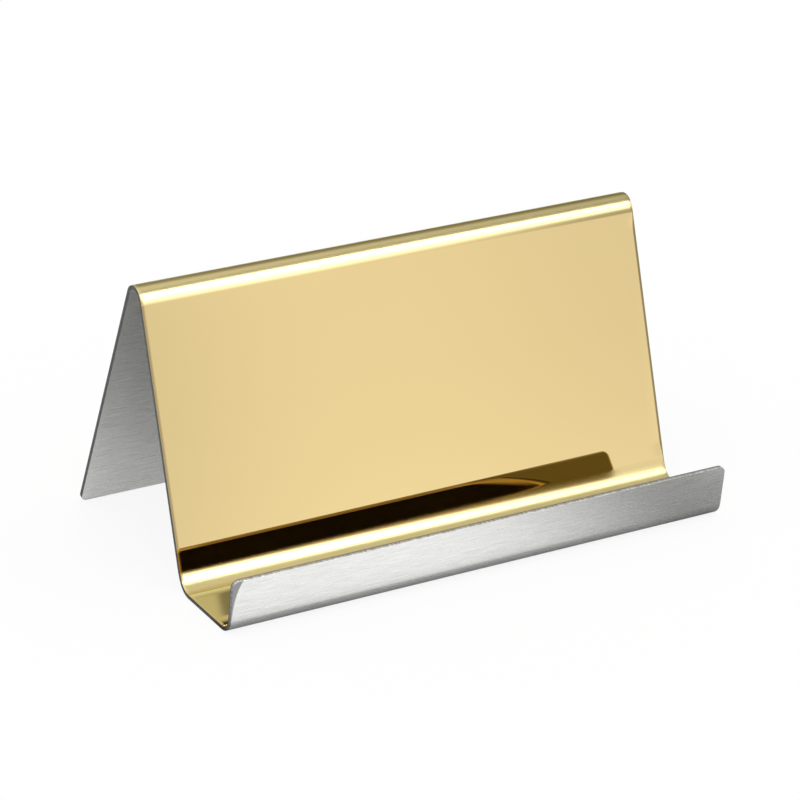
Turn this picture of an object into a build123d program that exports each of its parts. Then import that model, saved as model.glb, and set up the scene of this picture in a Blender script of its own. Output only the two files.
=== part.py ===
from build123d import *
import os
from math import cos, radians, sin, tan

# A stand for business cards, folded from one sheet of stainless steel that has a gold mirror face.
# The sheet starts at the foot of the rear leg, climbs to the ridge, comes down as the card panel,
# runs forward as the card shelf and turns up as the front lip.
# Millimetres and degrees. X runs along the bends, Y from the front to the back, and Z up.
# The stand rests on Z = 0, and the origin is under the middle of its box.

# The sheet
stand_width = 100.0
sheet_thickness = 0.8
gold_thickness = 0.05
corner_radius = 1.3

# Slopes of the flats above the table, measured towards the front on the leg and the lip
leg_angle = 70.0
panel_angle = 70.0
lip_angle = 94.0

# Sizes of the flats on the gold face, out to the sharp corners where they would meet without bends
panel_length = 57.0
shelf_depth = 15.9
lip_height = 9.7

# Inside radii of the bends: the steel is inside the ridge, the gold inside the heel and the toe
ridge_radius = 1.75
heel_radius = 2.8
toe_radius = 2.2

# The ridge and the heel ease into the panel through a wider arc: its turn, and the radius of its gold face
ridge_ease_angle = 12.0
ridge_ease_radius = 8.0
heel_ease_angle = 14.0
heel_ease_radius = 9.6

steel_thickness = sheet_thickness - gold_thickness

# Each bend is a run of arcs: how far they turn the sheet about +X, and the radius of their gold face
ridge_arcs = [
    (leg_angle + panel_angle - ridge_ease_angle, ridge_radius + sheet_thickness),
    (ridge_ease_angle, ridge_ease_radius),
]
heel_arcs = [
    (-heel_ease_angle, heel_ease_radius),
    (heel_ease_angle - panel_angle, heel_radius),
]
toe_arcs = [(lip_angle - 180, toe_radius)]


def setbacks(arcs):
    """The lengths that a bend takes from the flats before and after it, out to their sharp corner."""
    heading = along = across = 0.0
    for turn, gold_radius in arcs:
        start = heading
        heading += radians(abs(turn))
        along += gold_radius * (sin(heading) - sin(start))
        across += gold_radius * (cos(start) - cos(heading))
    return along - across / tan(heading), across / sin(heading)


# The leg is as long as it takes to stand its steel edge on the table with the shelf lying flat
ridge_corner_height = sheet_thickness + panel_length * sin(radians(panel_angle))
foot_height = sheet_thickness * cos(radians(leg_angle))
leg_length = (ridge_corner_height - foot_height) / sin(radians(leg_angle))

before_ridge, after_ridge = setbacks(ridge_arcs)
before_heel, after_heel = setbacks(heel_arcs)
before_toe, after_toe = setbacks(toe_arcs)


class Fold:
    """Folds one layer of the sheet, a flat or a bend at a time, from the foot to the lip.

    A station stands on the gold face: its z follows the sheet, and its y points out of the gold.
    """

    def __init__(self, depth, thickness):
        """depth is how far the layer lies under the gold face."""
        heading = Vector(0, -cos(radians(leg_angle)), sin(radians(leg_angle)))
        foot = Vector(0, 0, foot_height)
        self.station = Plane(origin=foot, x_dir=(1, 0, 0), z_dir=heading)
        self.section = Pos(0, -depth - thickness / 2) * Rectangle(stand_width, thickness)

    def flat(self, length, free_end=None):
        """Runs the sheet straight on, and rounds the two corners of its free end, first or last."""
        along = Axis(self.station.origin, self.station.z_dir)
        through = Axis(self.station.origin, self.station.y_dir)
        piece = extrude(self.station * self.section, amount=length)
        corners = piece.edges().filter_by(through).sort_by(along)
        if free_end == "first":
            piece = fillet(corners[:2], corner_radius)
        if free_end == "last":
            piece = fillet(corners[-2:], corner_radius)
        self.station = self.station.offset(length)
        return piece

    def bend(self, arcs):
        """Turns the sheet through a run of arcs, as one piece."""
        first, *others = [self.arc(turn, gold_radius) for turn, gold_radius in arcs]
        return first.fuse(*others) if others else first

    def arc(self, turn, gold_radius):
        """Turns the sheet about +X; a positive turn has the gold face outside."""
        side = -1 if turn > 0 else 1
        centre = self.station.origin + self.station.y_dir * side * gold_radius
        axis = Axis(centre, (1, 0, 0))
        piece = revolve(self.station * self.section, axis=axis, revolution_arc=turn)
        origin = Vertex(*self.station.origin).rotate(axis, turn)
        heading = self.station.z_dir.rotate(Axis.X, turn)
        self.station = Plane(origin=origin.center(), x_dir=(1, 0, 0), z_dir=heading)
        return piece


def folded_layer(depth, thickness):
    """The flats and bends of one layer of the sheet, by name, in order from the foot."""
    fold = Fold(depth, thickness)
    return {
        "rear_leg": fold.flat(leg_length - before_ridge, free_end="first"),
        "ridge_bend": fold.bend(ridge_arcs),
        "card_panel": fold.flat(panel_length - after_ridge - before_heel),
        "heel_bend": fold.bend(heel_arcs),
        "card_shelf": fold.flat(shelf_depth - after_heel - before_toe),
        "toe_bend": fold.bend(toe_arcs),
        "front_lip": fold.flat(lip_height - after_toe, free_end="last"),
    }


# The steel is divided at its bend lines, and the gold face is one unbroken skin over all of it
nodes = folded_layer(gold_thickness, steel_thickness)
gold_pieces = list(folded_layer(0, gold_thickness).values())
nodes["gold_face"] = gold_pieces[0].fuse(*gold_pieces[1:])

# The folding started at the foot, so the stand moves forward until its box is centred on the origin
boxes = [piece.bounding_box() for piece in nodes.values()]
front = min(box.min.Y for box in boxes)
back = max(box.max.Y for box in boxes)
centring = Pos(0, -(front + back) / 2, 0)

os.makedirs("parts", exist_ok=True)
for name, piece in nodes.items():
    export_step(centring * piece, f"parts/{name}.step")
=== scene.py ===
"""Looks of a business card stand: one folded sheet of brushed steel with a gold mirror face."""

import logging
import math
from dataclasses import dataclass
from enum import Enum
from functools import partial, reduce
from typing import Iterator, Sequence

import bmesh
import bpy
from mathutils import Matrix, Vector

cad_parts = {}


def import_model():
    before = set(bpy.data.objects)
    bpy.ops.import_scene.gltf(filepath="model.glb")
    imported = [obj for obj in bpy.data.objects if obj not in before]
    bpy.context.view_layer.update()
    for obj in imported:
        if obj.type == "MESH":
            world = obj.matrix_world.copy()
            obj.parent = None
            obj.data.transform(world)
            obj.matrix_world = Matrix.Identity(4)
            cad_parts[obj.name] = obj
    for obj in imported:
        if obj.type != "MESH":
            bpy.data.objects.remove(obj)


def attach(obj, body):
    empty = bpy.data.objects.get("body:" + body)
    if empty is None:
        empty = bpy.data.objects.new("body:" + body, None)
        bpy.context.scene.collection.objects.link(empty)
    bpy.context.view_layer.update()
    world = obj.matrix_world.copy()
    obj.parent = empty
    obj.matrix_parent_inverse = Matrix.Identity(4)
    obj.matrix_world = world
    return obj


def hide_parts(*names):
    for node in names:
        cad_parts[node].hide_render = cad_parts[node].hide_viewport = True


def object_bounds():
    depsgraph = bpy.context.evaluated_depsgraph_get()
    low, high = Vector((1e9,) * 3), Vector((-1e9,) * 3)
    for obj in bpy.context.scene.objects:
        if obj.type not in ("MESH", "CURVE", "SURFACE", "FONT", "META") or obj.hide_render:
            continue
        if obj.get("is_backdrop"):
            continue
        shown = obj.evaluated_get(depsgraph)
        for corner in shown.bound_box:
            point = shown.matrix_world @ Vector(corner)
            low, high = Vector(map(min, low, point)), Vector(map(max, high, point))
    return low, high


MM = 0.001
BLANK_MAP = "blank"
BEND_ATTRIBUTE = "bend"
DEPTH_ATTRIBUTE = "depth"
# In degrees
HALF_TURN = 180.0
# Height of the point that the lamp faces
LAMP_AIM = 25.0 * MM
# Points nearer than this are taken as one, and a fit that is better by less as no better
TOUCH = 0.005 * MM
TIE = 1e-6 * MM
# Edges sharper than the first are rounded, and those blunter than the second are shaded smooth
SHARP = math.radians(60.0)
BLUNT = math.radians(40.0)
# A face is broad where its normal has at least this part straight out of the sheet
BROAD_PART = 0.9
# How corners and rims are rounded
BEVEL = {"offset_type": "OFFSET", "profile": 0.5, "affect": "EDGES", "material": -1}

BMesh = bmesh.types.BMesh
Material = bpy.types.Material
ShaderNode = bpy.types.Node
Socket = bpy.types.NodeSocket
Feed = Socket | float | Sequence[float]
Range = tuple[float, float]
Band = tuple[float, float, float, float]
Colour = tuple[float, float, float, float]

BLACK: Colour = (0.0, 0.0, 0.0, 1.0)
WHITE: Colour = (1.0, 1.0, 1.0, 1.0)

log = logging.getLogger("stand")


@dataclass(frozen=True)
class Satin:
    """How satin a bend of the gold face is.

    Attributes:
        level: how satin it is in the middle, where 1 is the finish's own.
        coming: where the satin comes in, measured from the start of the bend.
        going: length over which it goes out again.
        haze: share of the satin that is there before it comes in.
        haze_share: share of the way to the full satin over which the haze comes in.
    """

    level: float
    coming: Range
    going: float
    haze: float = 0.0
    haze_share: float = 0.25

    def at(self, way: float, left: float) -> float:
        """Finds how satin a place in the bend is.

        Args:
            way: length of bend before the place.
            left: length of bend after it.

        Returns:
            0 outside the bend, and up to the level inside it.
        """
        start, full = self.coming
        first = self.haze * self._soft(way / (full * self.haze_share))
        share = first + (1.0 - self.haze) * self._soft((way - start) / (full - start))
        return self.level * share * self._soft(left / self.going)

    def _soft(self, share: float) -> float:
        """Returns a soft step from 0 to 1."""
        share = min(max(share, 0.0), 1.0)
        return share * share * (3.0 - 2.0 * share)


class Skin(Enum):
    """Which part of the sheet a face shows. The value is its place among the piece's materials."""

    BROAD = 0
    CUT = 1


class Node(Enum):
    """CAD nodes of the sheet, by the name that the record gives them."""

    REAR_LEG = "rear_leg"
    RIDGE_BEND = "ridge_bend"
    CARD_PANEL = "card_panel"
    HEEL_BEND = "heel_bend"
    CARD_SHELF = "card_shelf"
    TOE_BEND = "toe_bend"
    FRONT_LIP = "front_lip"
    GOLD_FACE = "gold_face"


class Slot(Enum):
    """Material slots of the record."""

    STEEL = "brushed_steel"
    GOLD = "gold_mirror"


@dataclass(frozen=True)
class Stretch:
    """One flat or bend of the sheet.

    Its station stands on the gold face: x is the sheet's width, y points out of the gold, and z
    runs on along the sheet.

    Attributes:
        station: where the stretch begins.
        run: length of sheet before it.
        length: its own length, along the gold face.
        turn: how far it turns the sheet about +X, in radians; a flat has none.
    """

    station: Matrix
    run: float
    length: float
    turn: float = 0.0

    def advance(self, distance: float) -> Matrix:
        """Follows the stretch for a way.

        Args:
            distance: the way, along the gold face.

        Returns:
            The station there.
        """
        if not self.turn:
            return self.station @ Matrix.Translation((0.0, 0.0, distance))
        centre = Matrix.Translation((0.0, -self.length / self.turn, 0.0))
        turned = Matrix.Rotation(self.turn * distance / self.length, 4, "X")
        return self.station @ centre @ turned @ centre.inverted()

    def next(self, length: float, turn: float = 0.0) -> "Stretch":
        """Returns a stretch of a length and a turn that starts where this one ends."""
        return Stretch(self.advance(self.length), self.run + self.length, length, turn)

    def unfold(self, point: Vector) -> tuple[float, float]:
        """Finds a point as it lay on the flat blank.

        Args:
            point: a point in or near the stretch.

        Returns:
            Its way along the stretch, and its depth under the gold face.
        """
        local = self.station.inverted() @ point
        if not self.turn:
            return local.z, -local.y
        radius = self.length / self.turn
        angle = math.atan2(local.z / radius, (local.y + radius) / radius)
        reach = math.hypot(local.z, local.y + radius)
        return angle * radius, radius - math.copysign(reach, radius)


class Arc:
    """A round stretch of a bend.

    Attributes:
        turn: how far it turns the sheet about +X, in radians.
        radius: radius of its gold face.
        length: its length, along the gold face.
    """

    def __init__(self, degrees: float, radius: float) -> None:
        """Measures the arc.

        Args:
            degrees: its turn, in degrees.
            radius: radius of its gold face.
        """
        self.turn = math.radians(degrees)
        self.radius = radius
        self.length = abs(self.turn) * radius


class Bend:
    """A run of arcs between two flats.

    Attributes:
        arcs: the arcs in order.
        before: length that the bend takes from the flat before it, out to the sharp corner.
        after: length that it takes from the flat after it.
    """

    def __init__(self, *arcs: Arc) -> None:
        """Measures the bend.

        Args:
            arcs: its arcs in order.
        """
        self.arcs = arcs
        self.before = self.after = 0.0
        heading = along = across = 0.0
        for arc in arcs:
            start = heading
            heading += abs(arc.turn)
            along += arc.radius * (math.sin(heading) - math.sin(start))
            across += arc.radius * (math.cos(start) - math.cos(heading))
        if arcs:
            self.before = along - across / math.tan(heading)
            self.after = across / math.sin(heading)


@dataclass(frozen=True)
class Blank:
    """The sheet before it was folded: a rectangle with rounded corners.

    Attributes:
        width: its width.
        length: its length, along the run of the sheet.
        radius: radius of its corners.
        panel: where the flat panel begins and ends along the run.
        shelf: where the flat shelf begins and ends.
        lip: where the flat lip begins.
    """

    width: float
    length: float
    radius: float
    panel: Range
    shelf: Range
    lip: float

    def way_in(self, across: float, along: float) -> tuple[float, float, float]:
        """Measures how far a place lies inside the outline.

        Args:
            across: the place, along the width.
            along: the place, along the length.

        Returns:
            The way in, and the direction straight out, along the width and the length.
        """
        off = (across - self.width / 2, along - self.length / 2)
        side = abs(off[0]) - (self.width / 2 - self.radius)
        end = abs(off[1]) - (self.length / 2 - self.radius)
        out = (math.copysign(max(side, 0.0), off[0]), math.copysign(max(end, 0.0), off[1]))
        if side > 0.0 and end > 0.0:
            reach = math.hypot(*out)
            return self.radius - reach, out[0] / reach, out[1] / reach
        if side > end:
            return self.radius - side, math.copysign(1.0, off[0]), 0.0
        return self.radius - end, 0.0, math.copysign(1.0, off[1])


@dataclass(frozen=True)
class SheetSizes:
    """Driving sizes of the folded sheet, as the CAD has them, in metres and degrees.

    The back is where the gold face ends at the foot of the leg, which the frame gives.
    """

    back: float
    width: float = 100.0 * MM
    thickness: float = 0.8 * MM
    gold_thickness: float = 0.05 * MM
    corner_radius: float = 1.3 * MM
    leg_angle: float = 70.0
    panel_angle: float = 70.0
    lip_angle: float = 94.0
    panel_length: float = 57.0 * MM
    shelf_depth: float = 15.9 * MM
    lip_height: float = 9.7 * MM
    ridge_radius: float = 1.75 * MM
    heel_radius: float = 2.8 * MM
    toe_radius: float = 2.2 * MM
    ridge_ease_angle: float = 12.0
    ridge_ease_radius: float = 8.0 * MM
    heel_ease_angle: float = 14.0
    heel_ease_radius: float = 9.6 * MM

    def stretches(self) -> list[Stretch]:
        """Lays out the flats and bends from the foot to the lip.

        Returns:
            The stretches in order, each starting where the last one ends.
        """
        ridge_turn = self.leg_angle + self.panel_angle - self.ridge_ease_angle
        ridge = Bend(
            Arc(ridge_turn, self.ridge_radius + self.thickness),
            Arc(self.ridge_ease_angle, self.ridge_ease_radius),
        )
        heel = Bend(
            Arc(-self.heel_ease_angle, self.heel_ease_radius),
            Arc(self.heel_ease_angle - self.panel_angle, self.heel_radius),
        )
        toe = Bend(Arc(self.lip_angle - HALF_TURN, self.toe_radius))
        leg_slope = math.radians(self.leg_angle)
        foot_height = self.thickness * math.cos(leg_slope)
        ridge_height = self.thickness + self.panel_length * math.sin(math.radians(self.panel_angle))
        leg_length = (ridge_height - foot_height) / math.sin(leg_slope)
        parts = (
            (leg_length - ridge.before, ridge),
            (self.panel_length - ridge.after - heel.before, heel),
            (self.shelf_depth - heel.after - toe.before, toe),
            (self.lip_height - toe.after, Bend()),
        )
        foot = Matrix.Translation((0.0, self.back, foot_height))
        laid = [Stretch(foot @ Matrix.Rotation(math.pi / 2 - leg_slope, 4, "X"), 0.0, 0.0)]
        for flat, bend in parts:
            laid.append(laid[-1].next(flat))
            for arc in bend.arcs:
                laid.append(laid[-1].next(arc.length, arc.turn))
        return laid[1:]

    def blank(self) -> Blank:
        """Unfolds the sheet.

        Returns:
            The blank that it is folded from.
        """
        _, panel, shelf, lip = (stretch for stretch in self.stretches() if not stretch.turn)
        ends = [(flat.run, flat.run + flat.length) for flat in (panel, shelf)]
        return Blank(self.width, lip.run + lip.length, self.corner_radius, *ends, lip.run)


@dataclass
class FoldedLayer:
    """One layer of the sheet, folded like the whole.

    Attributes:
        sizes: the sheet's sizes.
        name: the piece's name.
        nodes: CAD nodes that the piece stands for.
        slot: material slot of the record; not used.
        top: how far the layer's upper face lies under the gold face.
        bottom: how far its lower face lies under it.
        shown: depth of its shown face.
        rim_round: rounding of the edges round that face, where it is cut.
        rim_steps: faces across that rounding.
        roll_reach: how far in that face rolls down to its edges, where it is rolled.
        roll_depth: how far down it rolls.
        roll_steps: faces across the roll.
        bend_step: turn from one row of faces to the next in a bend, in radians.
        corner_steps: faces round a corner of the blank.
        satins: satin of each bend, in order.
    """

    sizes: SheetSizes
    name: str
    nodes: tuple[Node, ...]
    slot: Slot
    top: float
    bottom: float
    shown: float
    rim_round: float = 0.0
    rim_steps: int = 3
    roll_reach: float = 0.0
    roll_depth: float = 0.0
    roll_steps: int = 4
    bend_step: float = math.radians(2.0)
    corner_steps: int = 12
    satins: tuple[Satin, ...] = (
        Satin(0.78, (0.0, 0.35 * MM), 1.7 * MM),
        Satin(1.0, (1.6 * MM, 2.8 * MM), 0.15 * MM, haze=0.33),
        Satin(0.25, (0.0, 0.35 * MM), 0.35 * MM),
    )

    def __post_init__(self) -> None:
        """Lays out the layer's flats and bends."""
        self.stretches = self.sizes.stretches()
        self.blank = self.sizes.blank()
        self.flats = [stretch for stretch in self.stretches if not stretch.turn]

    def build(self) -> bpy.types.Object:
        """Folds the layer from its cross-section and rounds its corners and rim.

        Returns:
            The finished piece, without materials.
        """
        bm = bmesh.new()
        self._fold(bm)
        self._round_corners(bm)
        bmesh.ops.recalc_face_normals(bm, faces=bm.faces)
        if self.roll_reach:
            self._roll_rim(bm)
        if self.rim_round:
            self._round_rim(bm)
        bmesh.ops.recalc_face_normals(bm, faces=bm.faces)
        self._sort_faces(bm)
        self._map_blank(bm)
        mesh = bpy.data.meshes.new(self.name)
        bm.to_mesh(mesh)
        bm.free()
        self._set_normals(mesh)
        piece = bpy.data.objects.new(self.name, mesh)
        bpy.context.scene.collection.objects.link(piece)
        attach(piece, "root")
        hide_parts(*(node.value for node in self.nodes))
        return piece

    def dress(self, piece: bpy.types.Object, *materials: Material) -> None:
        """Gives the piece its materials.

        Args:
            piece: the piece.
            materials: one for each Skin, in that order.
        """
        for material in materials:
            piece.data.materials.append(material)
        log.info("%s: %d faces", piece.name, len(piece.data.polygons))

    def _fold(self, bm: BMesh) -> None:
        """Runs the cross-section along every flat and round every bend.

        Args:
            bm: an empty mesh.
        """
        middle = Matrix.Translation((0.0, -(self.top + self.bottom) / 2, 0.0))
        shape = Matrix.Diagonal((self.sizes.width, self.bottom - self.top, 1.0, 1.0))
        station = self.stretches[0].station
        bmesh.ops.create_grid(bm, x_segments=1, y_segments=1, size=0.5, matrix=station @ middle @ shape)
        foot = list(bm.faces)
        front = foot
        for stop in self._stops():
            grown = bmesh.ops.extrude_face_region(bm, geom=front)["geom"]
            if front is not foot:
                bmesh.ops.delete(bm, geom=front, context="FACES_ONLY")
            front = [part for part in grown if isinstance(part, bmesh.types.BMFace)]
            moved = [part for part in grown if isinstance(part, bmesh.types.BMVert)]
            bmesh.ops.transform(bm, matrix=stop @ station.inverted(), verts=moved)
            station = stop

    def _stops(self) -> Iterator[Matrix]:
        """Finds the stations that the cross-section passes.

        Yields:
            One for a flat, and many for a bend.
        """
        for stretch in self.stretches:
            steps = max(1, round(abs(stretch.turn) / self.bend_step))
            for step in range(1, steps + 1):
                yield stretch.advance(stretch.length * step / steps)

    def _place(self, point: Vector) -> tuple[Stretch, float, float]:
        """Finds a point on the blank.

        Args:
            point: a point of the layer.

        Returns:
            Its stretch, its way along that, and its depth under the gold face.
        """
        best = (self.stretches[0], 0.0, 0.0)
        least = math.inf
        for stretch in self.stretches:
            way, depth = stretch.unfold(point)
            over = max(-way, way - stretch.length, 0.0) + max(-depth, depth - self.sizes.thickness, 0.0)
            if over < least - TIE:
                best = (stretch, way, depth)
                least = over
        return best

    def _round_corners(self, bm: BMesh) -> None:
        """Rounds the four corners of the blank.

        Args:
            bm: the folded mesh.
        """
        total = self.blank.length
        corners: list[bmesh.types.BMEdge] = []
        for edge in bm.edges:
            stretch, way, _ = self._place(edge.verts[0].co)
            run = stretch.run + way
            if min(run, total - run) < 2 * TOUCH and edge.calc_length() < self.sizes.thickness + TOUCH:
                corners.append(edge)
        radius = self.sizes.corner_radius
        bmesh.ops.bevel(bm, geom=corners, offset=radius, segments=self.corner_steps, **BEVEL)

    def _roll_rim(self, bm: BMesh) -> None:
        """Rolls the shown face down towards the outline of the blank.

        Args:
            bm: the mesh, with its normals outward.
        """
        faces = [face for face in bm.faces if self._is_shown(face)]
        step = self.roll_reach / self.roll_steps
        for _ in range(self.roll_steps):
            bmesh.ops.inset_region(bm, faces=faces, thickness=step, use_boundary=True, use_even_offset=True)
        for vert in bm.verts:
            stretch, way, depth = self._place(vert.co)
            if abs(depth - self.shown) < TOUCH:
                share, _ = self._roll_at(vert.co.x, stretch.run + way)
                vert.co -= self._out(stretch, way) * self.roll_depth * share * share

    def _is_shown(self, part: bmesh.types.BMFace | bmesh.types.BMEdge) -> bool:
        """Tells whether all corners of a face or an edge lie at the shown depth."""
        return all(abs(self._place(vert.co)[2] - self.shown) < TOUCH for vert in part.verts)

    def _roll_at(self, x: float, run: float) -> tuple[float, Range]:
        """Finds how far the roll has come at a place on the blank.

        Args:
            x: the place along X.
            run: the place along the sheet.

        Returns:
            0 where the roll starts and 1 at the outline, and the way out along X and the run.
        """
        if not self.roll_reach:
            return 0.0, (0.0, 0.0)
        way_in, side, end = self.blank.way_in(x + self.sizes.width / 2, run)
        return min(max(1.0 - way_in / self.roll_reach, 0.0), 1.0), (side, end)

    def _out(self, stretch: Stretch, way: float) -> Vector:
        """Returns the direction straight out of the gold face, a way along a stretch."""
        return stretch.advance(way).to_3x3().col[1].copy()

    def _set_normals(self, mesh: bpy.types.Mesh) -> None:
        """Gives the broad faces the normals of the true fold, so that a flat mirrors like a flat.

        Args:
            mesh: the finished mesh.
        """
        normals = [Vector((0.0, 0.0, 0.0)) for _ in mesh.loops]
        for face in mesh.polygons:
            if face.material_index != Skin.BROAD.value:
                continue
            for corner in face.loop_indices:
                point = mesh.vertices[mesh.loops[corner].vertex_index].co
                stretch, way, depth = self._place(point)
                axes = stretch.advance(way).to_3x3()
                out = axes.col[1].copy()
                if abs(depth - self.shown) > abs(self.bottom - self.top) / 2 + self.roll_depth / 2:
                    normals[corner] = out if self.shown > self.top else -out
                    continue
                share, (side, end) = self._roll_at(point.x, stretch.run + way)
                slope = 2.0 * self.roll_depth * share / self.roll_reach if self.roll_reach else 0.0
                tilted = out + (axes.col[0] * side + axes.col[2] * end) * slope
                normals[corner] = -out if self.shown > self.top else tilted.normalized()
        mesh.normals_split_custom_set(normals)

    def _round_rim(self, bm: BMesh) -> None:
        """Takes the sharpness off the edges round the shown face.

        Args:
            bm: the mesh, with its normals outward.
        """
        sharp = [edge for edge in bm.edges if edge.calc_face_angle(0.0) > SHARP]
        rim = [edge for edge in sharp if self._is_shown(edge)]
        bmesh.ops.bevel(bm, geom=rim, offset=self.rim_round, segments=self.rim_steps, **BEVEL)

    def _sort_faces(self, bm: BMesh) -> None:
        """Tells broad faces from cut ones and shades them smooth.

        Args:
            bm: the mesh.
        """
        for face in bm.faces:
            stretch, way, _ = self._place(face.calc_center_median())
            broad = abs(face.normal.dot(self._out(stretch, way))) > BROAD_PART
            face.material_index = (Skin.BROAD if broad else Skin.CUT).value
            face.smooth = True
        for edge in bm.edges:
            edge.smooth = edge.calc_face_angle(0.0) < BLUNT

    def _map_blank(self, bm: BMesh) -> None:
        """Writes each point's place on the flat blank as a UV map, its satin and its depth.

        Args:
            bm: the mesh.
        """
        uv = bm.loops.layers.uv.new(BLANK_MAP)
        bend = bm.verts.layers.float.new(BEND_ATTRIBUTE)
        deep = bm.verts.layers.float.new(DEPTH_ATTRIBUTE)
        for vert in bm.verts:
            stretch, way, depth = self._place(vert.co)
            run = stretch.run + way
            vert[bend] = self._satin_at(run)
            vert[deep] = depth / self.sizes.thickness
            for loop in vert.link_loops:
                loop[uv].uv = (vert.co.x + self.sizes.width / 2, run)

    def _satin_at(self, run: float) -> float:
        """Finds how satin the sheet is.

        Args:
            run: a place along the sheet.

        Returns:
            0 on the flats, and up to the level of a bend in that bend.
        """
        level = 0.0
        for before, after, satin in zip(self.flats, self.flats[1:], self.satins):
            level = max(level, satin.at(run - before.run - before.length, after.run - run))
        return level


class Graph:
    """A shader node tree, with short ways to add and join its nodes.

    Attributes:
        mix_inputs: places of the share and the two colours among the inputs of a colour mix.
        mix_output: place of the mixed colour among its outputs.
    """

    mix_inputs = (0, 6, 7)
    mix_output = 2

    def __init__(self, tree: bpy.types.NodeTree) -> None:
        """Takes a tree and empties it."""
        self.tree = tree
        tree.nodes.clear()

    def node(self, kind: str, **settings: object) -> ShaderNode:
        """Adds a node.

        Args:
            kind: the node's type.
            settings: properties to set on it.

        Returns:
            The node.
        """
        node = self.tree.nodes.new(kind)
        for name, value in settings.items():
            setattr(node, name, value)
        return node

    def put(self, socket: Socket, value: Feed) -> None:
        """Sets an input, or joins it to another node.

        Args:
            socket: the input.
            value: a constant or an output.
        """
        if isinstance(value, Socket):
            self.tree.links.new(value, socket)
        else:
            socket.default_value = value

    def feed(self, node: ShaderNode, **values: Feed) -> ShaderNode:
        """Sets or joins a node's inputs.

        Args:
            node: the node.
            values: constants or outputs, by the input's name with _ for a space.

        Returns:
            The same node.
        """
        for name, value in values.items():
            self.put(node.inputs[name.replace("_", " ")], value)
        return node

    def calc(self, operation: str, *values: Feed) -> Socket:
        """Adds a Math node.

        Args:
            operation: its operation.
            values: its inputs in order.

        Returns:
            Its output.
        """
        node = self.node("ShaderNodeMath", operation=operation)
        for socket, value in zip(node.inputs, values):
            self.put(socket, value)
        return node.outputs[0]

    def times(self, *values: Feed) -> Socket:
        """Returns the product of two or more values."""
        return reduce(partial(self.calc, "MULTIPLY"), values)

    def plus(self, *values: Feed) -> Socket:
        """Returns the sum of two or more values."""
        return reduce(partial(self.calc, "ADD"), values)

    def less(self, value: Feed, other: Feed) -> Socket:
        """Returns a value less another."""
        return self.calc("SUBTRACT", value, other)

    def most(self, value: Feed, other: Feed) -> Socket:
        """Returns the larger of two values."""
        return self.calc("MAXIMUM", value, other)

    def least(self, value: Feed, other: Feed) -> Socket:
        """Returns the smaller of two values."""
        return self.calc("MINIMUM", value, other)

    def past(self, value: Feed, start: Feed) -> Socket:
        """Returns how far a value is past a start, or 0 before it."""
        return self.most(self.less(value, start), 0.0)

    def rise(self, value: Feed, low: float, high: float, start: float = 0.0, end: float = 1.0) -> Socket:
        """Returns a soft step from a start to an end level, while a value goes from low to high."""
        node = self.node("ShaderNodeMapRange", interpolation_type="SMOOTHSTEP")
        return self.feed(node, Value=value, From_Min=low, From_Max=high, To_Min=start, To_Max=end).outputs[0]

    def between(self, value: Feed, start: float, full: float, fading: float, gone: float) -> Socket:
        """Returns a soft mask that comes in from start to full, and goes out from fading to gone."""
        return self.less(self.rise(value, start, full), self.rise(value, fading, gone))

    def blend(self, share: Feed, first: Feed, second: Feed, mode: str = "MIX") -> Socket:
        """Mixes two colours.

        Args:
            share: how much of the second.
            first: a colour.
            second: a colour.
            mode: how they are mixed.

        Returns:
            The mixed colour.
        """
        node = self.node("ShaderNodeMix", data_type="RGBA", blend_type=mode)
        for place, value in zip(self.mix_inputs, (share, first, second)):
            self.put(node.inputs[place], value)
        return node.outputs[self.mix_output]

    def blank(self, along: float = 1.0, across: float = 1.0) -> Socket:
        """Reads the place on the blank.

        Args:
            along: length of a unit along the width.
            across: length of a unit along the run of the sheet.

        Returns:
            The place in those units, as a vector.
        """
        place = self.node("ShaderNodeUVMap", uv_map=BLANK_MAP)
        scaled = self.node("ShaderNodeVectorMath", operation="MULTIPLY")
        self.put(scaled.inputs[0], place.outputs[0])
        self.put(scaled.inputs[1], (1 / along, 1 / across, 1.0))
        return scaled.outputs[0]

    def place(self) -> tuple[Socket, Socket]:
        """Returns the place on the blank: across its width, and along its run."""
        place = self.feed(self.node("ShaderNodeSeparateXYZ"), Vector=self.blank())
        return place.outputs["X"], place.outputs["Y"]

    def noise(self, place: Socket, detail: float = 2.0, rough: float = 0.5) -> Socket:
        """Returns a flat noise about 0.5 of one spot to each unit, with finer and rougher detail."""
        node = self.node("ShaderNodeTexNoise", noise_dimensions="2D")
        return self.feed(node, Vector=place, Scale=1.0, Detail=detail, Roughness=rough).outputs["Fac"]

    def bump(self, height: Feed) -> Socket:
        """Returns the normal of a face that has a height."""
        node = self.node("ShaderNodeBump")
        return self.feed(node, Strength=1.0, Distance=1.0, Height=height).outputs[0]


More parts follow.
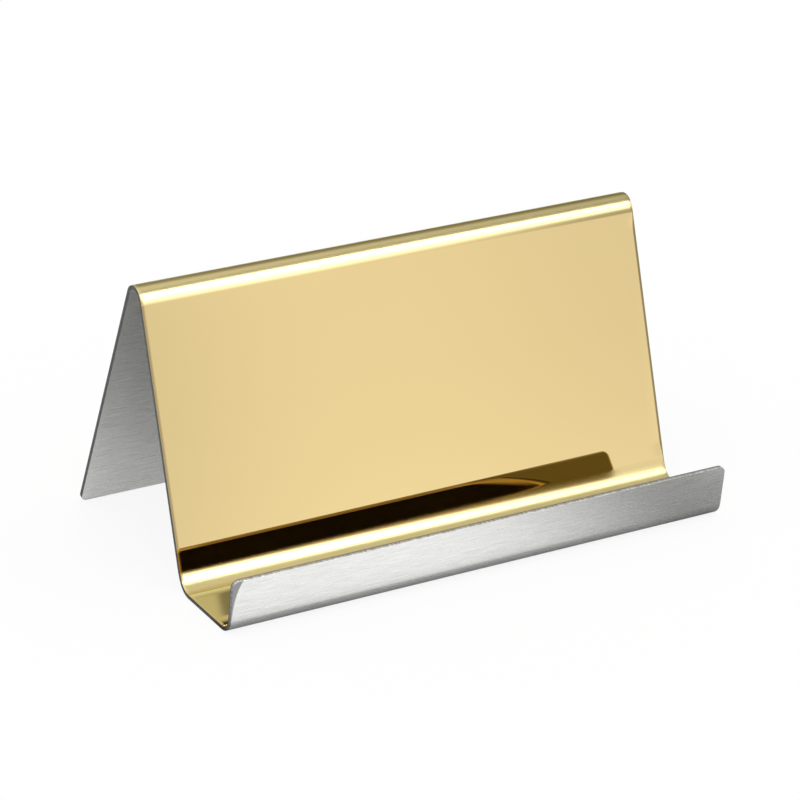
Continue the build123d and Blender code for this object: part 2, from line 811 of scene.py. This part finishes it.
class Grain:
    """Fine roughness of stretched or cut metal, as a shader node group that the finishes share.

    Attributes:
        fine: size of the finest grains, along the width and the run.
        mid: size of the next ones.
        wide: size of the blotches.
    """

    fine = (0.28 * MM, 0.22 * MM)
    mid = (0.9 * MM, 0.6 * MM)
    wide = (16.0 * MM, 12.0 * MM)

    def __init__(self) -> None:
        """Builds the group once, with the input Fine and the outputs Grain and Blotch."""
        self.tree = bpy.data.node_groups.new("grain", "ShaderNodeTree")
        for label, side in (("Fine", "INPUT"), ("Grain", "OUTPUT"), ("Blotch", "OUTPUT")):
            self.tree.interface.new_socket(label, in_out=side, socket_type="NodeSocketFloat")
        graph = Graph(self.tree)
        share = graph.node("NodeGroupInput").outputs["Fine"]
        fine = graph.noise(graph.blank(*self.fine), detail=3.0, rough=0.6)
        mid = graph.noise(graph.blank(*self.mid))
        grain = graph.plus(graph.times(fine, share), graph.times(mid, graph.less(1.0, share)))
        blotch = graph.noise(graph.blank(*self.wide))
        graph.feed(graph.node("NodeGroupOutput"), Grain=grain, Blotch=blotch)

    def use(self, graph: Graph, fine: float) -> tuple[Socket, Socket]:
        """Places the group with a share of the finest grain, and returns the grain and the blotches."""
        node = graph.feed(graph.node("ShaderNodeGroup", node_tree=self.tree), Fine=fine)
        return node.outputs["Grain"], node.outputs["Blotch"]


@dataclass(frozen=True)
class Finish:
    """A metal finish.

    Attributes:
        name: the material's name.
        colour: its metal colour.
        roughness: roughness of its flats.
        blank: the flat sheet that it covers.
        grain: the shared grain.
        anisotropy: how far its gloss is drawn out across the brush lines.
        drawn: which way it is drawn out, as a share of a turn.
    """

    name: str
    colour: Colour
    roughness: float
    blank: Blank
    grain: Grain
    anisotropy: float = 0.0
    drawn: float = 0.25

    def material(self) -> Material:
        """Makes the material with a metal shader.

        Returns:
            The material.
        """
        material = bpy.data.materials.new(self.name)
        material.use_nodes = True
        graph = Graph(material.node_tree)
        shader = graph.node("ShaderNodeBsdfPrincipled")
        graph.feed(shader, Base_Color=self.colour, Metallic=1.0, Roughness=self.roughness)
        graph.feed(shader, **self.wire(graph))
        graph.feed(graph.node("ShaderNodeOutputMaterial"), Surface=shader.outputs[0])
        if self.anisotropy:
            tangent = graph.node("ShaderNodeTangent", direction_type="UV_MAP", uv_map=BLANK_MAP)
            graph.feed(shader, Anisotropic=self.anisotropy, Anisotropic_Rotation=self.drawn)
            graph.feed(shader, Tangent=tangent.outputs[0])
        return material

    def wire(self, graph: Graph) -> dict[str, Socket]:
        """Returns what varies over the metal, by the names of the shader's inputs."""
        raise NotImplementedError


@dataclass(frozen=True)
class GoldMirror(Finish):
    """Polished gold: mirror flats, and satin bends where the metal was stretched.

    Attributes:
        bend_colour_and_highlight: colour of the bends, paler than the flats; in part a painted highlight,
            whose paler, bluer tone whitens the light they catch.
        bend_roughness: roughness of the bends.
        bend_grain: height of the grain in the bends.
        fine: share of the finest grain in it.
        shelf_painted_light: painted light: a paler colour of the shelf, for the brighter reflection there.
        crease_shade: painted shade: how much darker the line is where the shelf begins.
        crease_reach: how far that line reaches.
        ridge_shade: painted shade: how much darker the line under the ridge gets towards the right.
        ridge_shade_width: width of that line.
        ridge_shade_from: where across the width it begins, as a share of the width.
        toe: painted shade: how much darker the bend in front of the shelf is.
        smear: how much rougher the flats are where they were touched.
        smeared: levels of the blotches where the touch begins and is full.
        worn: colour where the gold is thin at the edge.
        worn_reach: how far in from the edge it is thin.
        wear: how much of that colour shows at the edge.
        bow: how far the upper edge of the lip bows, from the left to the right end.
        bow_slope: how steep the bow gets at the edge, at both ends too.
        bow_change: where across the width the bow grows, as shares of the width.
        side: how far in from the right end the panel eases down.
        side_slope: how steep it gets there.
        ease: how far the shelf eases into the bend in front of it.
        ease_slope: how steep it gets there.
        twist: how much later the heel bends half a width to the right of the twist's centre, as a slope.
        twist_centre: where across the width the heel isn't twisted, as a share of the width.
        twist_lead: length of heel over which the twist comes in.
    """

    bend_colour_and_highlight: Colour = (0.84, 0.715, 0.35, 1.0)
    bend_roughness: float = 0.38
    bend_grain: float = 0.015 * MM
    fine: float = 0.6
    shelf_painted_light: Colour = (0.97, 1.0, 0.735, 1.0)
    crease_shade: float = 0.3
    crease_reach: float = 0.25 * MM
    ridge_shade: float = 0.4
    ridge_shade_width: float = 1.0 * MM
    ridge_shade_from: float = 0.6
    toe: float = 0.2
    smear: float = 0.006
    smeared: Range = (0.5, 0.8)
    worn: Colour = (0.62, 0.56, 0.44, 1.0)
    worn_reach: float = 0.06 * MM
    wear: float = 0.8
    bow: Range = (0.75 * MM, 4.1 * MM)
    bow_slope: Range = (0.2, 0.26)
    bow_change: Range = (0.66, 0.88)
    side: float = 3.2 * MM
    side_slope: float = 0.085
    ease: float = 3.5 * MM
    ease_slope: float = 0.06
    twist: float = 0.042
    twist_centre: float = 0.38
    twist_lead: float = 1.6 * MM

    def wire(self, graph: Graph) -> dict[str, Socket]:
        """Tells bends from flats, paints light and shade into the gold's colour, and warps the face.

        Args:
            graph: the material's nodes.

        Returns:
            What feeds the shader, by the names of its inputs.
        """
        bend = graph.node("ShaderNodeAttribute", attribute_name=BEND_ATTRIBUTE).outputs["Fac"]
        grain, blotch = self.grain.use(graph, self.fine)
        satin = graph.times(bend, self.bend_roughness - self.roughness)
        smear = graph.rise(blotch, *self.smeared, 0.0, self.smear)
        pitted = graph.times(bend, bend, grain, self.bend_grain)
        return {
            "Base_Color": graph.blend(self._wear(graph), self._plating_and_painted_light(graph, bend), self.worn),
            "Roughness": graph.plus(satin, smear, self.roughness),
            "Normal": graph.bump(graph.plus(pitted, self._warp(graph))),
        }

    def _wear(self, graph: Graph) -> Socket:
        """Measures the way in from the outline of the blank, with its rounded corners.

        Args:
            graph: the material's nodes.

        Returns:
            How worn the gold is.
        """
        radius = self.blank.radius
        sides: list[Socket] = []
        for place, size in zip(graph.place(), (self.blank.width, self.blank.length)):
            off = graph.calc("ABSOLUTE", graph.less(place, size / 2))
            sides.append(graph.less(off, size / 2 - radius))
        outer = [graph.calc("POWER", graph.most(side, 0.0), 2.0) for side in sides]
        round_part = graph.calc("SQRT", graph.plus(*outer))
        flat_part = graph.least(graph.most(*sides), 0.0)
        way_in = graph.less(radius, graph.plus(round_part, flat_part))
        return graph.rise(way_in, 0.0, self.worn_reach, self.wear, 0.0)

    def _warp(self, graph: Graph) -> Socket:
        """Gives the face the shallow forms that only its reflections show.

        Args:
            graph: the material's nodes.

        Returns:
            The height of the face.
        """
        across, run = graph.place()
        width = self.blank.width
        top, foot = self.blank.panel
        back, front = self.blank.shelf
        # The upper edge of the lip bows back
        low, high = (width * share for share in self.bow_change)
        reach = graph.rise(across, low, high, *self.bow)
        slope = graph.rise(across, low, high, *self.bow_slope)
        way_in = graph.less(self.blank.length, run)
        share = graph.past(1.0, graph.calc("DIVIDE", way_in, reach))
        bowed = graph.times(share, share, slope, reach, -0.5)
        # The panel eases down at its right end
        out = graph.past(across, width - self.side)
        on_panel = graph.between(run, top, top + self.side, foot - self.side, foot)
        sunk = graph.times(out, out, on_panel, -self.side_slope / self.side / 2)
        # The shelf eases up into the toe
        way = graph.least(graph.past(run, front - self.ease), self.ease)
        raised = graph.times(way, way, self.ease_slope / self.ease / 2)
        # The heel bends later towards the right
        passed = graph.least(graph.past(run, foot), back - foot)
        led = graph.least(passed, self.twist_lead)
        turned = graph.plus(graph.less(passed, led), graph.times(led, led, 0.5 / self.twist_lead))
        off = graph.less(across, width * self.twist_centre)
        twisted = graph.times(off, turned, -self.twist / (width / 2))
        return graph.plus(bowed, sunk, raised, twisted)

    def _plating_and_painted_light(self, graph: Graph, bend: Socket) -> Socket:
        """Mixes the colour of the gold along the sheet, with painted light on the shelf and painted shade in
        the crease, the toe and a line under the ridge.

        Args:
            graph: the material's nodes.
            bend: how satin the sheet is.

        Returns:
            The colour.
        """
        across, run = graph.place()
        width = self.blank.width
        first, last = self.blank.shelf
        lip = self.blank.lip
        reach = self.crease_reach
        # Painted light: the shelf is paler for the brighter reflection it shows. Painted shade: the crease
        # where the shelf begins, the toe bend and a line under the ridge that deepens to the right are
        # darker.
        shelf = graph.between(run, first - reach, first + reach, last - reach, last + reach)
        crease_shade = graph.between(run, first - reach, first, first, first + reach)
        toe = graph.between(run, last - reach, last + reach, lip - reach, lip + reach)
        low = self.blank.panel[0]
        top = low - self.ridge_shade_width
        line = graph.between(run, top, (top + low) / 2, low - reach / 2, low + reach / 2)
        deep = graph.rise(across, width * self.ridge_shade_from, width, 0.0, self.ridge_shade)
        dark = graph.times(line, deep)
        for mask, share in ((crease_shade, self.crease_shade), (toe, self.toe)):
            dark = graph.most(dark, graph.times(mask, share))
        # The bends' paler colour is in part a painted highlight.
        plating_and_painted_light = graph.blend(shelf, graph.blend(bend, self.colour, self.bend_colour_and_highlight), self.shelf_painted_light)
        return graph.blend(dark, plating_and_painted_light, BLACK)


@dataclass(frozen=True)
class BrushedSteel(Finish):
    """Stainless steel with long fine lines along the width, as a brushing belt leaves them.

    Attributes:
        fine: length and width of the fine lines.
        coarse: length and width of the coarse ones.
        coarse_share: strength of the coarse ones.
        dark: how much darker the deepest lines are.
        shades: levels of the darkest and the lightest lines.
        gloss: levels of the roughest and the smoothest lines.
        spread: how much rougher and smoother than the roughness those are.
        line_height: height of the lines.
        ground_shade: painted shade on the left corner of the lip, which is ground down: a darker colour for
            the darker reflection of its rounding.
        ground_reach: how far in from the end that ground and shaded corner reaches at the upper edge of the
            lip.
        ground_fade: how far down from there it narrows to about a third.
        ground_soft: softness of its border.
    """

    fine: Range = (5.0 * MM, 0.11 * MM)
    coarse: Range = (7.0 * MM, 0.25 * MM)
    coarse_share: float = 0.3
    dark: float = 0.14
    shades: Range = (0.25, 0.75)
    gloss: Range = (0.2, 0.8)
    spread: Range = (0.08, -0.05)
    line_height: float = 0.0002 * MM
    ground_shade: Colour = (0.30, 0.30, 0.29, 1.0)
    ground_reach: float = 2.0 * MM
    ground_fade: float = 3.0 * MM
    ground_soft: float = 0.12 * MM

    def wire(self, graph: Graph) -> dict[str, Socket]:
        """Lays the brush lines, and paints shade on the ground corner of the lip.

        Args:
            graph: the material's nodes.

        Returns:
            What feeds the shader, by the names of its inputs.
        """
        fine = graph.noise(graph.blank(*self.fine), rough=0.6)
        coarse = graph.less(graph.noise(graph.blank(*self.coarse), detail=1.0), 0.5)
        lines = graph.plus(fine, graph.times(coarse, self.coarse_share))
        deep = tuple(part * (1.0 - self.dark) for part in self.colour[:3]) + (1.0,)
        brushed = graph.blend(graph.rise(lines, *self.shades), deep, self.colour)
        # Painted shade: the ground corner at the left end of the lip gets a darker colour for the dark
        # reflection of its rounding.
        across, run = graph.place()
        down = graph.calc("DIVIDE", graph.less(run, self.blank.length), self.ground_fade)
        inside = graph.less(across, graph.times(graph.calc("EXPONENT", down), self.ground_reach))
        ground_shade = graph.rise(inside, -self.ground_soft, self.ground_soft, 1.0, 0.0)
        return {
            "Base_Color": graph.blend(ground_shade, brushed, self.ground_shade),
            "Roughness": graph.rise(lines, *self.gloss, *(self.roughness + part for part in self.spread)),
            "Normal": graph.bump(graph.times(lines, self.line_height)),
        }


@dataclass(frozen=True)
class CutEdge(Finish):
    """The bare edge of the sheet, with marks of the cut across its thickness, and with painted light and
    shade: it is darker or lighter by place for what it reflects.

    Attributes:
        fine: share of the finest grain in the marks.
        marked: levels of the deepest and the highest marks.
        dark: how much darker the deepest marks are.
        spread: how much rougher the deepest and smoother the highest ones are.
        torn: how much darker the edge is next to the gold, where the cut broke through.
        border: where the torn part begins to end and ends, as shares of the thickness.
        ragged: how uneven that border is.
        lip: colour of the left end of the lip, painted lighter than the rest as painted light.
        polished: painted highlight: a light colour on the upper edge of the lip, for the bright reflection
            there.
    """

    fine: float = 0.7
    marked: Range = (0.35, 0.65)
    dark: float = 0.4
    spread: Range = (0.1, -0.05)
    torn: float = 0.75
    border: Range = (0.15, 0.5)
    ragged: float = 0.4
    lip: Colour = (0.36, 0.35, 0.37, 1.0)
    polished: Colour = (0.85, 0.84, 0.84, 1.0)

    def wire(self, graph: Graph) -> dict[str, Socket]:
        """Marks the cut, and paints light on the left end and the upper edge of the lip.

        Args:
            graph: the material's nodes.

        Returns:
            What feeds the shader, by the names of its inputs.
        """
        blank = self.blank
        grain, _ = self.grain.use(graph, self.fine)
        marks = graph.rise(grain, *self.marked)
        across, run = graph.place()
        # Painted light: the left end of the lip is lighter and its upper edge light, for what they reflect;
        # elsewhere the dark colour stays.
        on_lip = graph.rise(run, blank.shelf[1], blank.lip)
        ends = graph.blend(graph.times(on_lip, graph.rise(across, blank.width, 0.0)), self.colour, self.lip)
        bare = graph.blend(graph.rise(run, blank.length - blank.radius, blank.length), ends, self.polished)
        depth = graph.node("ShaderNodeAttribute", attribute_name=DEPTH_ATTRIBUTE).outputs["Fac"]
        uneven = graph.plus(graph.times(grain, self.ragged), graph.less(depth, self.ragged / 2))
        torn = graph.rise(uneven, *self.border, self.torn, 0.0)
        dark = graph.most(graph.rise(marks, 0.0, 1.0, self.dark, 0.0), torn)
        return {
            "Base_Color": graph.blend(dark, bare, BLACK),
            "Roughness": graph.rise(marks, 0.0, 1.0, *(self.roughness + part for part in self.spread)),
        }


@dataclass(frozen=True)
class Patch:
    """A soft-edged patch of the room that is lighter or darker than the rest.

    Attributes:
        span: where it comes in and goes out along X.
        rise: where it does so in tilt, in degrees.
        near: how many times as bright it is where its span begins.
        far: how many times as bright it is where its span ends.
        slant: how many degrees its lower edge climbs in a unit of X, from where it is full.
    """

    span: Band
    rise: Band
    near: float
    far: float
    slant: float = 0.0

    def add(self, graph: Graph, room: Feed, across: Feed, tilt: Feed) -> Socket:
        """Lays the patch over the room.

        Args:
            graph: the world's nodes.
            room: level of the room without it.
            across: a direction's part along X.
            tilt: its tilt, in degrees.

        Returns:
            Level of the room with it.
        """
        change = graph.rise(across, self.span[1], self.span[2], self.near - 1.0, self.far - 1.0)
        share = graph.calc("MULTIPLY_ADD", self.mask(graph, across, tilt), change, 1.0)
        return graph.times(room, share)

    def mask(self, graph: Graph, across: Feed, tilt: Feed) -> Socket:
        """Masks the patch.

        Args:
            graph: the world's nodes.
            across: a direction's part along X.
            tilt: its tilt, in degrees.

        Returns:
            1 in the patch and 0 outside it.
        """
        start, full, fading, gone = self.rise
        climb = graph.times(graph.past(across, self.span[1]), self.slant)
        lower = graph.rise(graph.less(tilt, climb), start, full)
        upper = graph.rise(tilt, fading, gone)
        return graph.times(graph.between(across, *self.span), graph.less(lower, upper))


@dataclass(frozen=True)
class Studio:
    """The white room round the stand, as its metal sees it.

    A direction is told by its part along X and by its tilt: 0 at the front horizon, 90 straight up
    and 180 at the back horizon. For the camera and for soft light, the room is plain white.

    Attributes:
        tones: tilt in degrees and level, in order of tilt.
        top_tone: the highest level that the tones can have.
        wall: the middle of the white wall in front.
        window: the bright window over it.
        lintel: the black edge over the window.
        eave: the dim edge over that.
        jamb: the dark edge to the right of them.
        corner: the dim ceiling to the right.
        left: the end of the white wall.
        right: its other end.
        back: the dark wall behind the stand.
        back_tint: colour of that wall.
    """

    tones: tuple[Range, ...] = (
        (-90.0, 0.7), (2.0, 1.0), (8.5, 0.99), (10.5, 0.92), (14.0, 0.90), (18.0, 0.80),
        (24.0, 0.64), (31.0, 0.74), (38.0, 0.74), (46.0, 0.92), (55.0, 0.92), (58.0, 0.72),
        (70.0, 0.62), (85.0, 0.75), (100.0, 0.86), (120.0, 0.76), (135.0, 0.60), (180.0, 0.60),
    )
    top_tone: float = 2.0
    wall: Patch = Patch((0.41, 0.475, 0.485, 0.55), (-5.0, 0.0, 13.0, 16.0), 1.09, 1.09)
    window: Patch = Patch((0.24, 0.47, 0.56, 0.70), (12.5, 48.5, 52.0, 56.4), 11.0, 3.8, 40.0)
    lintel: Patch = Patch((0.12, 0.40, 0.512, 0.545), (55.8, 56.4, 65.5, 68.5), 0.012, 0.012)
    eave: Patch = Patch((0.4328, 0.435, 0.485, 0.505), (69.5, 71.0, 80.0, 88.0), 0.4, 0.4)
    jamb: Patch = Patch((0.555, 0.60, 0.9, 1.0), (50.0, 54.0, 80.0, 90.0), 0.15, 0.15)
    corner: Patch = Patch((0.45, 0.56, 1.1, 1.2), (66.0, 82.0, 118.0, 134.0), 0.44, 0.44)
    left: Patch = Patch((0.02, 0.08, 0.25, 0.47), (-20.0, -12.0, 14.0, 17.0), 0.55, 0.55)
    right: Patch = Patch((0.66, 0.74, 0.85, 0.95), (-20.0, -12.0, 14.0, 17.0), 0.35, 0.35)
    back: Patch = Patch((0.34, 0.40, 0.62, 0.70), (117.0, 130.0, 200.0, 210.0), 0.27, 0.27)
    back_tint: Colour = (1.0, 0.92, 0.45, 1.0)

    def build(self) -> None:
        """Makes the world."""
        world = bpy.data.worlds.new("studio")
        world.use_nodes = True
        bpy.context.scene.world = world
        graph = Graph(world.node_tree)
        way = graph.node("ShaderNodeSeparateXYZ")
        graph.feed(way, Vector=graph.node("ShaderNodeTexCoord").outputs["Generated"])
        across, depth, height = way.outputs
        tilt = graph.calc("DEGREES", graph.calc("ARCTAN2", height, graph.times(depth, -1.0)))
        room: Feed = self._room(graph, tilt)
        edges = (self.lintel, self.eave, self.jamb)
        for patch in (self.wall, self.window, *edges, self.corner, self.left, self.right, self.back):
            room = patch.add(graph, room, across, tilt)
        warm = graph.blend(self.back.mask(graph, across, tilt), WHITE, self.back_tint)
        tinted = graph.blend(1.0, warm, room, "MULTIPLY")
        glossy = graph.node("ShaderNodeLightPath").outputs["Is Glossy Ray"]
        background = graph.node("ShaderNodeBackground")
        graph.feed(background, Color=graph.blend(glossy, WHITE, tinted), Strength=1.0)
        graph.feed(graph.node("ShaderNodeOutputWorld"), Surface=background.outputs[0])

    def _room(self, graph: Graph, tilt: Socket) -> Socket:
        """Lays the tones over the tilt.

        Args:
            graph: the world's nodes.
            tilt: a direction's tilt, in degrees.

        Returns:
            Level of the room without its patches.
        """
        ramp = graph.node("ShaderNodeValToRGB")
        stops = ramp.color_ramp.elements
        stops.remove(stops[1])
        stops[0].position = 0.0
        for angle, level in self.tones:
            stop = stops.new((angle + HALF_TURN) / (2 * HALF_TURN))
            stop.color = (*[level / self.top_tone] * 3, 1.0)
        stops.remove(stops[0])
        graph.feed(ramp, Fac=graph.calc("DIVIDE", graph.plus(tilt, HALF_TURN), 2 * HALF_TURN))
        return graph.times(ramp.outputs[0], self.top_tone)


@dataclass(frozen=True)
class Softbox:
    """A flat white lamp that looks at the stand.

    Attributes:
        name: its name.
        across: part of its direction along X.
        tilt: its tilt above the front horizon, in degrees.
        distance: how far off it is.
        side: its width and height.
        level: radiance of its face.
    """

    name: str = "overhead"
    across: float = -0.2
    tilt: float = 80.0
    distance: float = 1.5
    side: float = 1.0
    level: float = 0.8

    def build(self, aim: Vector) -> bpy.types.Object:
        """Makes the lamp.

        Args:
            aim: the point it faces.

        Returns:
            The lamp.
        """
        rest = math.sqrt(1.0 - self.across * self.across)
        slope = math.radians(self.tilt)
        way = Vector((self.across, -rest * math.cos(slope), rest * math.sin(slope)))
        light = bpy.data.lights.new(self.name, "AREA")
        light.size = self.side
        light.energy = self.level * math.pi * self.side * self.side
        lamp = bpy.data.objects.new(self.name, light)
        lamp.location = aim + way * self.distance
        lamp.rotation_euler = way.to_track_quat("Z", "Y").to_euler()
        lamp.visible_camera = False
        bpy.context.scene.collection.objects.link(lamp)
        return lamp


@dataclass(frozen=True)
class Floor:
    """A white table that keeps a faint shadow, with painted shade and painted light that only the metal's
    reflections show.

    Attributes:
        side: its length and width.
        colour: its colour.
        shaded: its colour to the right of the stand, as the metal sees it.
        dims: where along X it gets darker for the metal, and lighter again.
        contact: where along Y it is nearly as dark under the toe.
        contact_share: how far it goes to the shaded colour there.
        front: where along Y the bright part in front of the stand ends.
        rear: where along Y it gets brighter again behind the stand.
        glow: share of plain white that the camera sees in it.
        painted_glow: painted light: share of plain white that glows for the metal in front of the stand,
            under it and behind it.
        gleam: level of that white.
    """

    side: float = 8.0
    colour: Colour = (0.90, 0.90, 0.90, 1.0)
    shaded: Colour = (0.26, 0.26, 0.26, 1.0)
    dims: Band = (-10.0 * MM, 50.0 * MM, 60.0 * MM, 74.0 * MM)
    contact: Band = (-31.5 * MM, -29.5 * MM, -24.0 * MM, -20.0 * MM)
    contact_share: float = 0.85
    front: Range = (-32.5 * MM, -30.0 * MM)
    rear: Range = (5.0 * MM, 28.0 * MM)
    glow: float = 0.88
    painted_glow: tuple[float, float, float] = (0.78, 0.02, 0.22)
    gleam: float = 1.1

    def build(self) -> bpy.types.Object:
        """Makes the floor.

        Returns:
            The floor.
        """
        bm = bmesh.new()
        bmesh.ops.create_grid(bm, x_segments=1, y_segments=1, size=self.side / 2)
        mesh = bpy.data.meshes.new("floor")
        bm.to_mesh(mesh)
        bm.free()
        floor = bpy.data.objects.new("floor", mesh)
        bpy.context.scene.collection.objects.link(floor)
        mesh.materials.append(self._material())
        floor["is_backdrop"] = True
        return floor

    def _material(self) -> Material:
        """Makes the white of the table.

        Returns:
            The material.
        """
        material = bpy.data.materials.new("white_table")
        material.use_nodes = True
        graph = Graph(material.node_tree)
        path = graph.node("ShaderNodeLightPath").outputs
        glossy = path["Is Glossy Ray"]
        place = graph.node("ShaderNodeSeparateXYZ")
        graph.feed(place, Vector=graph.node("ShaderNodeTexCoord").outputs["Object"])
        x, y, _ = place.outputs
        # Painted shade that only the metal sees: the table is darker to the right of the stand and under the
        # toe.
        right = graph.between(x, *self.dims)
        dim = graph.most(right, graph.times(graph.between(y, *self.contact), self.contact_share))
        paper = graph.node("ShaderNodeBsdfDiffuse")
        graph.feed(paper, Color=graph.blend(graph.times(dim, glossy), self.colour, self.shaded))
        white = graph.node("ShaderNodeEmission")
        graph.feed(white, Strength=graph.rise(glossy, 0.0, 1.0, 1.0, self.gleam))
        # Painted light that only the metal sees: the table glows white in front of the stand and behind it.
        before, under, behind = self.painted_glow
        ahead = graph.rise(y, *self.front, before, under)
        bright = graph.most(ahead, graph.rise(y, *self.rear, under, behind))
        lit = graph.times(graph.less(1.0, right), bright)
        share = graph.calc("MULTIPLY_ADD", glossy, lit, graph.times(path["Is Camera Ray"], self.glow))
        mixed = graph.node("ShaderNodeMixShader")
        for socket, value in zip(mixed.inputs, (share, paper.outputs[0], white.outputs[0])):
            graph.put(socket, value)
        graph.feed(graph.node("ShaderNodeOutputMaterial"), Surface=mixed.outputs[0])
        return material


@dataclass(frozen=True)
class Viewpoint:
    """Where the picture is taken from.

    Attributes:
        aim: the point in the middle of the picture.
        azimuth: how far to the left of the front the camera is, in degrees.
        elevation: how far above the table it looks from, in degrees.
        roll: how far it leans, in degrees.
        distance: how far it is from the aim.
        focal: focal length as a share of the picture's width.
        nearest: distance from which it sees things.
    """

    aim: tuple[float, float, float] = (-8.298 * MM, -10.904 * MM, 27.938 * MM)
    azimuth: float = 32.300
    elevation: float = 25.263
    roll: float = 2.939
    distance: float = 639.69 * MM
    focal: float = 4.6452
    nearest: float = 10.0 * MM

    def build(self) -> bpy.types.Object:
        """Makes the camera.

        Returns:
            The camera.
        """
        turn = Matrix.Rotation(-math.radians(self.azimuth), 4, "Z")
        tip = Matrix.Rotation(math.radians(90.0 - self.elevation), 4, "X")
        lean = Matrix.Rotation(math.radians(self.roll), 4, "Z")
        back = Matrix.Translation((0.0, 0.0, self.distance))
        lens = bpy.data.cameras.new("camera")
        lens.lens = self.focal * lens.sensor_width
        lens.clip_start = self.nearest
        camera = bpy.data.objects.new("camera", lens)
        camera.matrix_world = Matrix.Translation(self.aim) @ turn @ tip @ lean @ back
        bpy.context.scene.collection.objects.link(camera)
        bpy.context.scene.camera = camera
        return camera


class CardStand:
    """The stand: a folded steel sheet with a gold mirror face."""

    def __init__(self, sizes: SheetSizes) -> None:
        """Plans the two layers.

        Args:
            sizes: sizes of the sheet.
        """
        self.sizes = sizes
        steel_nodes = tuple(node for node in Node if node is not Node.GOLD_FACE)
        self.steel = FoldedLayer(
            sizes,
            "folded_steel_sheet",
            steel_nodes,
            Slot.STEEL,
            top=sizes.gold_thickness,
            bottom=sizes.thickness,
            shown=sizes.thickness,
            rim_round=0.1 * MM,
        )
        self.gold = FoldedLayer(
            sizes,
            "gold_mirror_face",
            (Node.GOLD_FACE,),
            Slot.GOLD,
            top=0.0,
            bottom=sizes.gold_thickness,
            shown=0.0,
            roll_reach=0.62 * MM,
            roll_depth=0.045 * MM,
        )

    def build(self) -> None:
        """Builds both layers and gives them their finishes."""
        blank = self.sizes.blank()
        grain = Grain()
        brushed = BrushedSteel("brushed_steel", (0.88, 0.88, 0.86, 1.0), 0.27, blank, grain, anisotropy=0.8)
        # The cut edge's near-black colour is partly the bare steel's own and partly painted shade, for the
        # dark floor behind that it reflects.
        cut = CutEdge("cut_edge", (0.12, 0.12, 0.12, 1.0), 0.45, blank, grain)
        gold = GoldMirror("gold_mirror", (0.82, 0.64, 0.31, 1.0), 0.018, blank, grain).material()
        self.steel.dress(self.steel.build(), brushed.material(), cut.material())
        self.gold.dress(self.gold.build(), gold, gold)


def main() -> None:
    """Builds the stand, its table, the light and the camera."""
    logging.basicConfig(level=logging.INFO, format="%(message)s")
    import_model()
    cad_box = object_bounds()
    bpy.context.scene.view_settings.view_transform = "Standard"
    CardStand(SheetSizes(back=cad_box[1][1])).build()
    Floor().build()
    Studio().build()
    Softbox().build(Vector((0.0, 0.0, LAMP_AIM)))
    Viewpoint().build()


if __name__ == "__main__":
    main()
